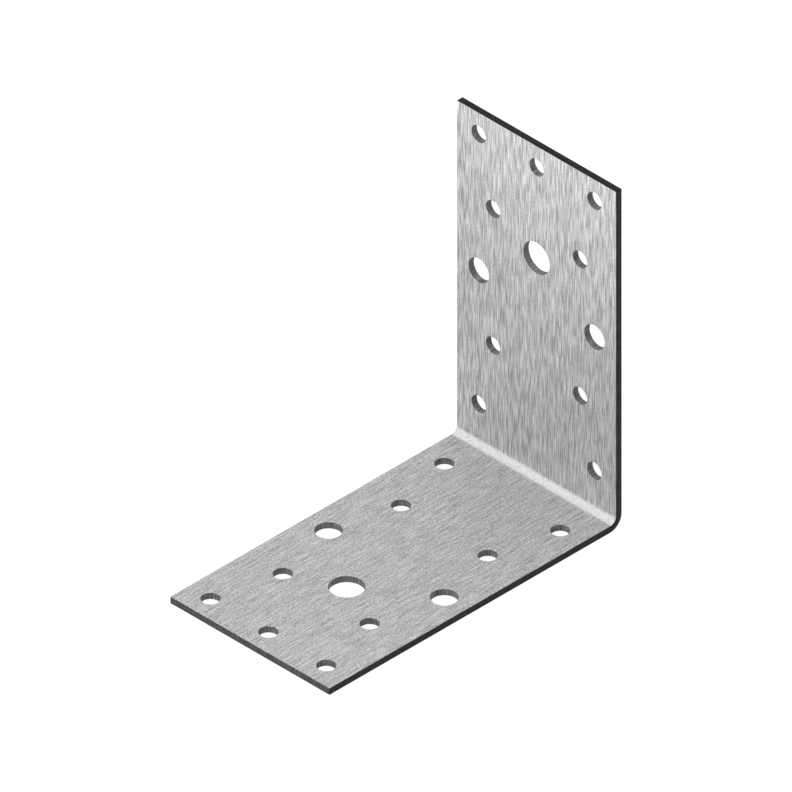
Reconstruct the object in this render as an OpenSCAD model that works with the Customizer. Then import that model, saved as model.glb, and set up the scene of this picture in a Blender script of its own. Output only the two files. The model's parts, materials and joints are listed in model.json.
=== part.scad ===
// Perforated angle bracket: one strip of steel sheet, folded once to a right angle.
// Both legs are punched with the same hole layout, mirrored about the fold.
//
// Millimetres. X runs along the fold, the base leg lies on Z = 0 and runs towards -Y,
// and the wall leg stands at +Y. The origin is the middle of the footprint, on the underside.

/* [Legs] */
// Length of the base leg, from the back of the wall leg to its free end
base_leg_length = 101; // [90:1:160]
// Length of the wall leg, from the underside of the base leg to its free end
wall_leg_length = 101; // [90:1:160]
// Width of the strip, along the fold
strip_width = 55; // [46:1:90]

/* [Sheet and fold] */
// Thickness of the sheet
sheet_thickness = 2; // [1:0.25:4]
// Radius on the inside of the fold
inside_fold_radius = 2; // [0.5:0.25:6]

/* [Hole diameters] */
// Small holes, for nails and screws
nail_hole_diameter = 4.9; // [3:0.1:6]
// Medium holes, for coach screws
screw_hole_diameter = 7; // [5:0.1:9]
// Large hole, for a bolt or an anchor
bolt_hole_diameter = 9.1; // [6:0.1:13]

/* [Hole columns] */
// Outer columns: from the side of the strip to the hole centres
outer_column_margin = 7.5; // [6:0.5:10]
// Inner columns: how far they stand inside the outer ones
column_stagger = 5; // [3:0.5:8]

/* [Hole rows] */
// From the end of the fold to the first row
fold_to_first_row = 9.8; // [6:0.1:14]
// From one row to the next, counted from the fold and from the free end
row_pitch = 20; // [16:0.5:24]
// From the free end of a leg to its last row
end_row_margin = 6.4; // [5:0.1:9]
// From the free end of a leg to its large hole
bolt_hole_from_end = 33.5; // [30:0.5:40]

/* [Hidden] */

// The fold's outside is concentric with its inside, one sheet further out.
outside_fold_radius = inside_fold_radius + sheet_thickness;

// The back of the wall leg, with the footprint centred on the origin.
wall_back_y = base_leg_length / 2;

// Distances of the hole columns from the middle of the strip.
outer_column = strip_width / 2 - outer_column_margin;
inner_column = outer_column - column_stagger;

// Distances of the rows near the fold from the outside of the other leg.
first_row = outside_fold_radius + fold_to_first_row;
second_row = first_row + row_pitch;
third_row = second_row + row_pitch;

// How far a punch passes each face of the sheet.
punch_overrun = 1;

hole_facets = 48;
fold_facets = 96;

// One punched hole. Local frame of a leg: X across the strip, Y away from the fold,
// Z from the leg's outer face through the sheet.
module punch(diameter, across, along) {
    translate([across, along, -punch_overrun])
        cylinder(d = diameter, h = sheet_thickness + 2 * punch_overrun, $fn = hole_facets);
}

// Two like holes, one each side of the middle of the strip.
module punch_pair(diameter, column, along) {
    for (side = [-1, 1])
        punch(diameter, side * column, along);
}

// Every hole of one leg, in the leg's local frame. The rows near the fold keep their place
// from the fold, and the rows near the free end keep theirs from the free end.
module leg_holes(leg_length) {
    end_row = leg_length - end_row_margin;
    punch_pair(nail_hole_diameter, outer_column, first_row);
    punch_pair(nail_hole_diameter, inner_column, second_row);
    punch_pair(screw_hole_diameter, outer_column, third_row);
    punch(bolt_hole_diameter, 0, leg_length - bolt_hole_from_end);
    punch_pair(nail_hole_diameter, inner_column, end_row - row_pitch);
    punch_pair(nail_hole_diameter, outer_column, end_row);
    punch(nail_hole_diameter, 0, end_row);
}

// The flat stretch of one leg with its holes, in the leg's local frame.
module leg(leg_length) {
    difference() {
        translate([-strip_width / 2, outside_fold_radius, 0])
            cube([strip_width, leg_length - outside_fold_radius, sheet_thickness]);
        leg_holes(leg_length);
    }
}

// Puts a leg's local frame in place as the leg that lies flat.
module as_base_leg() {
    translate([0, wall_back_y, 0])
        rotate([0, 0, 180])
            children();
}

// Puts a leg's local frame in place as the leg that stands.
module as_wall_leg() {
    translate([0, wall_back_y, 0])
        rotate([90, 0, 0])
            children();
}

// The quarter turn of sheet between the two legs.
module fold() {
    translate([0, wall_back_y - outside_fold_radius, outside_fold_radius])
        rotate([90, 0, 90])
            rotate([0, 0, -90])
                rotate_extrude(angle = 90, $fn = fold_facets)
                    translate([inside_fold_radius, -strip_width / 2])
                        square([sheet_thickness, strip_width]);
}

module bracket() {
    color("silver")
        union() {
            as_base_leg() leg(base_leg_length);
            as_wall_leg() leg(wall_leg_length);
            fold();
        }
}

bracket();
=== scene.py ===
"""A perforated angle bracket, made from one strip of sheet steel.

The strip is drawn as its section, spun through the fold and extruded to its width. Its edges
are broken, its holes are punched and the rims of the holes are rolled. The grain of the finish
runs along the strip and follows it through the fold.
"""

import json
import math

import bmesh
import bpy
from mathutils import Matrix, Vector


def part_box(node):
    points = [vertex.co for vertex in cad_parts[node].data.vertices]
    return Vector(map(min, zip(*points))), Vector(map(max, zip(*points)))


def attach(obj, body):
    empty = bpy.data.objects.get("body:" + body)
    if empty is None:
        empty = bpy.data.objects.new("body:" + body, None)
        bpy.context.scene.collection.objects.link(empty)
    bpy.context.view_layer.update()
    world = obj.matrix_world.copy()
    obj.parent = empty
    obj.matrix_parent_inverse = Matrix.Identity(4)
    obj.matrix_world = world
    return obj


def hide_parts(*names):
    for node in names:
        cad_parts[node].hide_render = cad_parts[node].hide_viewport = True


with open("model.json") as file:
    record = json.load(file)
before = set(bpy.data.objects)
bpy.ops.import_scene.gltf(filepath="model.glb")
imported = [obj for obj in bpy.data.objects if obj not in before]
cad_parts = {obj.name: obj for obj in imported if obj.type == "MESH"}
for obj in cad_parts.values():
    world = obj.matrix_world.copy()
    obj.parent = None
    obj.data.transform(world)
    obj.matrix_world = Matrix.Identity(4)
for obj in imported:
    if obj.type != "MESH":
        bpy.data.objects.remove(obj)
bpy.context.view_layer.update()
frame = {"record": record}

MM = 0.001

# The sheet and its fold. The legs and the width come from the frame.
SHEET = 2.0 * MM
INSIDE_RADIUS = 2.0 * MM
OUTSIDE_RADIUS = INSIDE_RADIUS + SHEET
NEUTRAL_RADIUS = INSIDE_RADIUS + SHEET / 2
FOLD_STEPS = 20
FOLD_LENGTH = NEUTRAL_RADIUS * math.pi / 2

LOW, HIGH = (Vector(corner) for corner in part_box("bracket"))
MIDDLE = (LOW + HIGH) / 2
WIDTH = HIGH.x - LOW.x
FOLD_CENTRE = Vector((LOW.x, HIGH.y - OUTSIDE_RADIUS, LOW.z + OUTSIDE_RADIUS))

# How far the sheared edges are broken and the punched rims are rolled in.
EDGE_BREAK = 0.08 * MM
RIM_ROLL = 0.14 * MM

# An edge that turns more than this is a corner of the sheet. The facets of the fold,
# of the holes and of the rounded edges turn less, and are shaded as smooth.
CORNER_ANGLE = math.radians(60)
SMOOTH_ANGLE = math.radians(50)

# The name of the attribute that holds each point's place in the flat strip.
STRIP_PLACE = "strip_place"


def deselect_all():
    bpy.ops.object.select_all(action="DESELECT")


def activate(piece):
    deselect_all()
    piece.select_set(True)
    bpy.context.view_layer.objects.active = piece


def select_points(piece, wanted):
    """In edit mode: selects the points whose place passes the test, and what they span."""
    bpy.ops.mesh.select_all(action="DESELECT")
    mesh = bmesh.from_edit_mesh(piece.data)
    for point in mesh.verts:
        point.select = wanted(point.co)
    mesh.select_flush(True)
    bmesh.update_edit_mesh(piece.data)


def apply_modifier(piece, kind, **settings):
    activate(piece)
    modifier = piece.modifiers.new(kind.lower(), kind)
    for name, value in settings.items():
        setattr(modifier, name, value)
    bpy.ops.object.modifier_apply(modifier=modifier.name)


def fold_strip():
    """The bare strip: its section is drawn on the left side and extruded across the width."""
    flat_length = FOLD_CENTRE.y - LOW.y
    deselect_all()
    bpy.ops.mesh.primitive_plane_add(
        size=1,
        location=(LOW.x, LOW.y + flat_length / 2, LOW.z + SHEET / 2),
        rotation=(0, math.pi / 2, 0),
    )
    strip = bpy.context.object
    strip.name = strip.data.name = "bracket_strip"
    strip.scale = (SHEET, flat_length, 1)
    bpy.ops.object.transform_apply(location=True, rotation=True, scale=True)

    bpy.ops.object.mode_set(mode="EDIT")
    bpy.ops.mesh.select_mode(type="VERT")
    select_points(strip, lambda place: abs(place.y - FOLD_CENTRE.y) < 0.01 * MM)
    bpy.ops.mesh.spin(
        steps=FOLD_STEPS, angle=-math.pi / 2, center=FOLD_CENTRE, axis=(1, 0, 0)
    )
    select_points(strip, lambda place: abs(place.z - FOLD_CENTRE.z) < 0.01 * MM)
    bpy.ops.mesh.extrude_region_move(
        TRANSFORM_OT_translate={"value": (0, 0, HIGH.z - FOLD_CENTRE.z)}
    )
    bpy.ops.mesh.select_all(action="SELECT")
    bpy.ops.mesh.extrude_region_move(TRANSFORM_OT_translate={"value": (WIDTH, 0, 0)})
    bpy.ops.mesh.select_all(action="SELECT")
    bpy.ops.mesh.remove_doubles(threshold=0.001 * MM)
    bpy.ops.mesh.normals_make_consistent(inside=False)
    bpy.ops.object.mode_set(mode="OBJECT")
    return strip


def round_corners(piece, radius, segments):
    """Rounds every corner edge that the piece has at this moment."""
    activate(piece)
    bpy.ops.object.mode_set(mode="EDIT")
    bpy.ops.mesh.select_mode(type="EDGE")
    bpy.ops.mesh.select_all(action="DESELECT")
    bpy.ops.mesh.edges_select_sharp(sharpness=CORNER_ANGLE)
    bpy.ops.mesh.bevel(offset=radius, segments=segments, affect="EDGES")
    bpy.ops.object.mode_set(mode="OBJECT")


def stated_holes():
    """(middle of the hole, its axis, its radius) for each hole that the record's mounts state."""
    holes = []
    for mount in frame["record"]["mounts"]:
        dims = mount.get("dims") or {}
        centre, axis = Vector(mount["pos_m"]), Vector(mount["axis"])
        if mount["kind"] == "bore":
            holes.append((centre, axis, dims["r_mm"] * MM))
        if mount["kind"] == "bolt_pattern":
            along_leg = Vector((0, 0, 1)) if abs(axis.y) > 0.5 else Vector((0, 1, 0))
            half_x = Vector((dims["spacing_x_mm"] * MM / 2, 0, 0))
            half_y = along_leg * dims.get("spacing_y_mm", 0) * MM / 2
            rows = (-1, 1) if half_y.length else (0,)
            for row in rows:
                for column in (-1, 1):
                    place = centre + half_x * column + half_y * row
                    holes.append((place, axis, dims["hole_r_mm"] * MM))
    return holes


def facets_for(radius):
    """Sides of a hole, for facets of about a third of a millimetre."""
    return max(40, 8 * round(2 * math.pi * radius / (8 * 0.33 * MM)))


def punch(strip, holes):
    """Cuts all the holes with one set of round punches."""
    punches = []
    for place, axis, radius in holes:
        deselect_all()
        bpy.ops.mesh.primitive_cylinder_add(
            vertices=facets_for(radius),
            radius=radius,
            depth=4 * SHEET,
            location=place,
            rotation=axis.to_track_quat("Z", "Y").to_euler(),
        )
        punches.append(bpy.context.object)
    deselect_all()
    for tool in punches:
        tool.select_set(True)
    bpy.context.view_layer.objects.active = punches[0]
    bpy.ops.object.join()
    punch_set = bpy.context.object
    apply_modifier(
        strip, "BOOLEAN", operation="DIFFERENCE", solver="EXACT", object=punch_set
    )
    bpy.data.objects.remove(punch_set)


def strip_place(point):
    """(across the strip, along it, through the sheet) for a point of the folded strip."""
    past_fold, above_fold = point.y - FOLD_CENTRE.y, point.z - FOLD_CENTRE.z
    if past_fold <= 0:
        return point.x, past_fold, point.z - LOW.z
    if above_fold >= 0:
        return point.x, FOLD_LENGTH + above_fold, HIGH.y - point.y
    turned = math.atan2(past_fold, -above_fold)
    return point.x, NEUTRAL_RADIUS * turned, OUTSIDE_RADIUS - math.hypot(past_fold, above_fold)


def sheet_normal(point):
    """The direction through the sheet at a point of the folded strip."""
    past_fold, above_fold = point.y - FOLD_CENTRE.y, point.z - FOLD_CENTRE.z
    if past_fold <= 0:
        return Vector((0, 0, 1))
    if above_fold >= 0:
        return Vector((0, -1, 0))
    return Vector((0, -past_fold, -above_fold)).normalized()


def keep_strip_places(strip):
    """Stores each point's place in the flat strip, so that patterns follow the sheet."""
    mesh = strip.data
    attribute = mesh.attributes.new(STRIP_PLACE, "FLOAT_VECTOR", "POINT")
    for point, kept in zip(mesh.vertices, attribute.data):
        kept.vector = strip_place(point.co)


def is_in_hole(place, holes):
    """Is this place on the wall or the rim of a punched hole?"""
    for centre, axis, radius in holes:
        offset = place - centre
        across = offset - axis * offset.dot(axis)
        if abs(offset.dot(axis)) < 2 * SHEET and across.length < radius + RIM_ROLL:
            return True
    return False


def assign_finishes(strip, holes, sheet, slit, cropped, punched):
    """Sheet faces, and the cut faces in three copies of one finish toned by painted light and shade:
    the end facing −Y paler, the hole walls palest, the slit sides and the top edge darkest.
    """
    for finish in (sheet, slit, cropped, punched):
        strip.data.materials.append(finish)
    for face in strip.data.polygons:
        if abs(face.normal.dot(sheet_normal(face.center))) > 0.6:
            face.material_index = 0
        elif is_in_hole(face.center, holes):
            face.material_index = 3
        # Cut faces turned towards −Y, the side the key light comes from, take the paler copy: painted
        # light.
        elif face.normal.y < -0.5:
            face.material_index = 2
        else:
            face.material_index = 1


class Nodes:
    """Adds nodes to a tree and links them, one short call each."""

    def __init__(self, tree):
        self.tree = tree

    def add(self, kind, inputs=None, **settings):
        node = self.tree.nodes.new(kind)
        for name, value in settings.items():
            setattr(node, name, value)
        for name, value in (inputs or {}).items():
            if isinstance(value, bpy.types.NodeSocket):
                self.tree.links.new(value, node.inputs[name])
            else:
                node.inputs[name].default_value = value
        return node

    def math(self, operation, first, second):
        return self.add("ShaderNodeMath", {0: first, 1: second}, operation=operation).outputs[0]

    def blend(self, factor, first, second):
        """A colour between two greys or colours."""
        node = self.add("ShaderNodeMix", data_type="RGBA", clamp_factor=True)
        for name, value in (("Factor_Float", factor), ("A_Color", first), ("B_Color", second)):
            socket = next(s for s in node.inputs if s.identifier == name)
            if isinstance(value, bpy.types.NodeSocket):
                self.tree.links.new(value, socket)
            else:
                socket.default_value = value
        return next(s for s in node.outputs if s.identifier == "Result_Color")

    def remap(self, value, low, high, to_low, to_high):
        return self.add(
            "ShaderNodeMapRange",
            {"Value": value, "From Min": low, "From Max": high, "To Min": to_low, "To Max": to_high},
        ).outputs["Result"]


def grey(level):
    return (level, level, level, 1)


def new_group(name, inputs, outputs):
    """A shader node group with float or vector inputs and float outputs."""
    tree = bpy.data.node_groups.new(name, "ShaderNodeTree")
    for socket, kind, value in inputs:
        made = tree.interface.new_socket(socket, in_out="INPUT", socket_type=kind)
        if value is not None:
            made.default_value = value
    for socket in outputs:
        tree.interface.new_socket(socket, in_out="OUTPUT", socket_type="NodeSocketFloat")
    build = Nodes(tree)
    return tree, build, build.add("NodeGroupInput"), build.add("NodeGroupOutput")


def grain_group():
    """Streaks that are long along the strip and narrow across it, about 0 to 1."""
    tree, build, given, result = new_group(
        "strip_grain",
        [
            ("Place", "NodeSocketVector", None),
            ("Width", "NodeSocketFloat", 0.5 * MM),
            ("Length", "NodeSocketFloat", 8 * MM),
            ("Depth", "NodeSocketFloat", 1.0 * MM),
            ("Contrast", "NodeSocketFloat", 2.0),
        ],
        ["Streaks"],
    )
    size = build.add(
        "ShaderNodeCombineXYZ",
        {"X": given.outputs["Width"], "Y": given.outputs["Length"], "Z": given.outputs["Depth"]},
    )
    cells = build.add(
        "ShaderNodeVectorMath",
        {0: given.outputs["Place"], 1: size.outputs[0]},
        operation="DIVIDE",
    )
    noise = build.add(
        "ShaderNodeTexNoise",
        {"Vector": cells.outputs[0], "Scale": 1.0, "Detail": 1.5, "Roughness": 0.5},
    )
    centred = build.math("SUBTRACT", noise.outputs["Fac"], 0.5)
    spread = build.math("MULTIPLY", centred, given.outputs["Contrast"])
    build.tree.links.new(build.math("ADD", spread, 0.5), result.inputs["Streaks"])
    return tree


def strip_attribute(build):
    return build.add(
        "ShaderNodeAttribute", attribute_name=STRIP_PLACE, attribute_type="GEOMETRY"
    ).outputs["Vector"]


def grain(build, group, place, width, length, depth, contrast):
    node = build.add("ShaderNodeGroup", node_tree=group)
    build.tree.links.new(place, node.inputs["Place"])
    for name, value in (("Width", width), ("Length", length), ("Depth", depth), ("Contrast", contrast)):
        node.inputs[name].default_value = value
    return node.outputs["Streaks"]


def new_finish(name, metallic):
    """A material with one Principled shader, and what builds its nodes."""
    finish = bpy.data.materials.new(name)
    finish.use_nodes = True
    finish.node_tree.nodes.clear()
    build = Nodes(finish.node_tree)
    shader = build.add("ShaderNodeBsdfPrincipled", {"Metallic": metallic})
    output = build.add("ShaderNodeOutputMaterial")
    build.tree.links.new(shader.outputs["BSDF"], output.inputs["Surface"])
    return finish, build, shader


def connect(build, shader, colour, roughness, height, bump_distance, bump_strength):
    bump = build.add(
        "ShaderNodeBump",
        {"Height": height, "Distance": bump_distance, "Strength": bump_strength},
    )
    build.tree.links.new(colour, shader.inputs["Base Color"])
    build.tree.links.new(roughness, shader.inputs["Roughness"])
    build.tree.links.new(bump.outputs["Normal"], shader.inputs["Normal"])


def fold_mask(build, along):
    """1 over the fold, falling to 0 just past its two ends; it places the fold's painted highlight and
    its extra roughness.
    """
    from_middle = build.math("ABSOLUTE", build.math("SUBTRACT", along, FOLD_LENGTH * 0.45), 0.0)
    return build.remap(from_middle, FOLD_LENGTH * 0.28, FOLD_LENGTH * 0.5, 1.0, 0.0)


def sheet_finish(group):
    """Satin zinc-grey sheet with a straight grain along the strip, and a pale speckled highlight
    painted over the fold.
    """
    finish, build, shader = new_finish("satin_sheet", metallic=0.5)
    place = strip_attribute(build)
    along = build.add("ShaderNodeSeparateXYZ", {0: place}).outputs["Y"]
    streaks = grain(build, group, place, 0.28 * MM, 5.4 * MM, 0.9 * MM, 3.4)
    speckle = grain(build, group, place, 0.26 * MM, 0.26 * MM, 0.9 * MM, 6.0)
    speckle_share = build.remap(along, 0.0, FOLD_LENGTH, 0.5, 0.22)
    mixed = build.blend(speckle_share, streaks, speckle)
    rolled = build.blend(mixed, grey(0.31), grey(0.84))
    # Painted highlight: the fold's colour is made pale, 0.70 to 1.0 under the speckle, standing in for
    # the light the inside of the bend catches.
    painted_fold_highlight = build.blend(speckle, grey(0.70), grey(1.0))
    folded = fold_mask(build, along)
    colour = build.blend(folded, rolled, painted_fold_highlight)
    satin = build.remap(mixed, 0.0, 1.0, 0.60, 0.48)
    roughness = build.math("ADD", satin, build.math("MULTIPLY", folded, 0.2))
    connect(build, shader, colour, roughness, mixed, 0.02 * MM, 0.25)
    return finish


def cut_finish(name, group, dark, light, metallic, specular):
    """A sheared or punched face, streaked the way the blade or the punch went through it."""
    finish, build, shader = new_finish(name, metallic)
    shader.inputs["Specular IOR Level"].default_value = specular
    place = strip_attribute(build)
    scores = grain(build, group, place, 0.3 * MM, 0.3 * MM, 6 * MM, 2.4)
    mottle = grain(build, group, place, 1.6 * MM, 1.6 * MM, 1.2 * MM, 1.8)
    mixed = build.math("ADD", build.math("MULTIPLY", scores, 0.6), build.math("MULTIPLY", mottle, 0.4))
    colour = build.blend(mixed, grey(dark), grey(light))
    roughness = build.remap(mixed, 0.0, 1.0, 0.62, 0.45)
    connect(build, shader, colour, roughness, scores, 0.03 * MM, 0.4)
    return finish


def make_bracket():
    holes = stated_holes()
    strip = fold_strip()
    round_corners(strip, EDGE_BREAK, segments=2)
    punch(strip, holes)
    round_corners(strip, RIM_ROLL, segments=3)
    keep_strip_places(strip)
    group = grain_group()
    assign_finishes(
        strip,
        holes,
        sheet_finish(group),
        # One cut-steel finish in three copies: near black with painted shade on the slit sides and top
        # edge, paler with painted light on the end facing the key light, palest with painted light in
        # the holes.
        cut_finish("slit_edge_with_painted_shade", group, 0.004, 0.030, metallic=0.3, specular=0.3),
        cut_finish("cropped_end_with_painted_light", group, 0.02, 0.14, metallic=0.3, specular=0.5),
        cut_finish("punched_wall_with_painted_light", group, 0.05, 0.36, metallic=0.1, specular=0.3),
    )
    activate(strip)
    bpy.ops.object.shade_smooth_by_angle(angle=SMOOTH_ANGLE)
    apply_modifier(strip, "WEIGHTED_NORMAL", mode="FACE_AREA", keep_sharp=True)
    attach(strip, "root")
    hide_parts("bracket")
    return strip


def make_floor():
    """A plain white floor that still takes the bracket's soft shadow."""
    floor_drop = 0.05 * MM
    deselect_all()
    bpy.ops.mesh.primitive_plane_add(size=12, location=(0, 0, LOW.z - floor_drop))
    floor = bpy.context.object
    floor.name = "floor"
    finish = bpy.data.materials.new("white_floor")
    finish.use_nodes = True
    finish.node_tree.nodes.clear()
    build = Nodes(finish.node_tree)
    path = build.add("ShaderNodeLightPath")
    seen = build.math("MAXIMUM", path.outputs["Is Camera Ray"], path.outputs["Is Glossy Ray"])
    seen = build.math("MAXIMUM", seen, path.outputs["Is Transmission Ray"])
    extra = build.math("MULTIPLY", path.outputs["Is Camera Ray"], 0.25)
    strength = build.math("ADD", build.math("MULTIPLY", seen, 0.6), extra)
    paint = build.add("ShaderNodeBsdfDiffuse", {"Color": grey(0.3)})
    glow = build.add("ShaderNodeEmission", {"Color": grey(1.0), "Strength": strength})
    both = build.add("ShaderNodeAddShader", {0: paint.outputs[0], 1: glow.outputs[0]})
    output = build.add("ShaderNodeOutputMaterial")
    build.tree.links.new(both.outputs[0], output.inputs["Surface"])
    floor.data.materials.append(finish)


def make_sky():
    """Soft white light from all round, fuller overhead."""
    world = bpy.data.worlds.new("studio")
    world.use_nodes = True
    world.node_tree.nodes.clear()
    build = Nodes(world.node_tree)
    direction = build.add("ShaderNodeTexCoord").outputs["Generated"]
    height = build.add("ShaderNodeSeparateXYZ", {0: direction}).outputs["Z"]
    level = build.remap(height, 0.0, 0.8, 0.10, 0.95)
    sky = build.add("ShaderNodeBackground", {"Color": grey(1.0), "Strength": level})
    output = build.add("ShaderNodeOutputWorld")
    build.tree.links.new(sky.outputs[0], output.inputs["Surface"])
    bpy.context.scene.world = world


def make_softbox(name, place, aim, size, energy, spread):
    """A square softbox that faces aim. A spread under 180 degrees is a grid on its front."""
    light = bpy.data.lights.new(name, "AREA")
    light.shape = "SQUARE"
    light.size = size
    light.energy = energy
    light.spread = math.radians(spread)
    lamp = bpy.data.objects.new(name, light)
    lamp.location = place
    lamp.rotation_euler = (aim - place).to_track_quat("-Z", "Y").to_euler()
    bpy.context.scene.collection.objects.link(lamp)


def make_lights():
    """A large softbox towards the inside of the fold, and a gridded one on the top of the wall leg."""
    make_softbox("key", MIDDLE + Vector((-0.05, -0.8, 0.5)), MIDDLE, 0.45, 3.1, 180)
    make_softbox("wall_top", Vector((0.1, -0.6, 0.05)), Vector((0, HIGH.y, 0.18)), 0.10, 0.075, 20)


def make_camera():
    """The photograph's view: a true isometric one, level with the middle of the bracket."""
    azimuth, elevation = math.radians(45), math.atan(1 / math.sqrt(2))
    back = Vector(
        (
            math.sin(azimuth) * math.cos(elevation),
            -math.cos(azimuth) * math.cos(elevation),
            math.sin(elevation),
        )
    )
    lens = bpy.data.cameras.new("camera")
    lens.type = "ORTHO"
    lens.ortho_scale = 193.5 * MM
    camera = bpy.data.objects.new("camera", lens)
    camera.location = MIDDLE + back * 0.6
    camera.rotation_euler = back.to_track_quat("Z", "Y").to_euler()
    bpy.context.scene.collection.objects.link(camera)
    bpy.context.scene.camera = camera


make_camera()
make_sky()
make_lights()
make_floor()
make_bracket()

bpy.context.scene.view_settings.view_transform = "Standard"
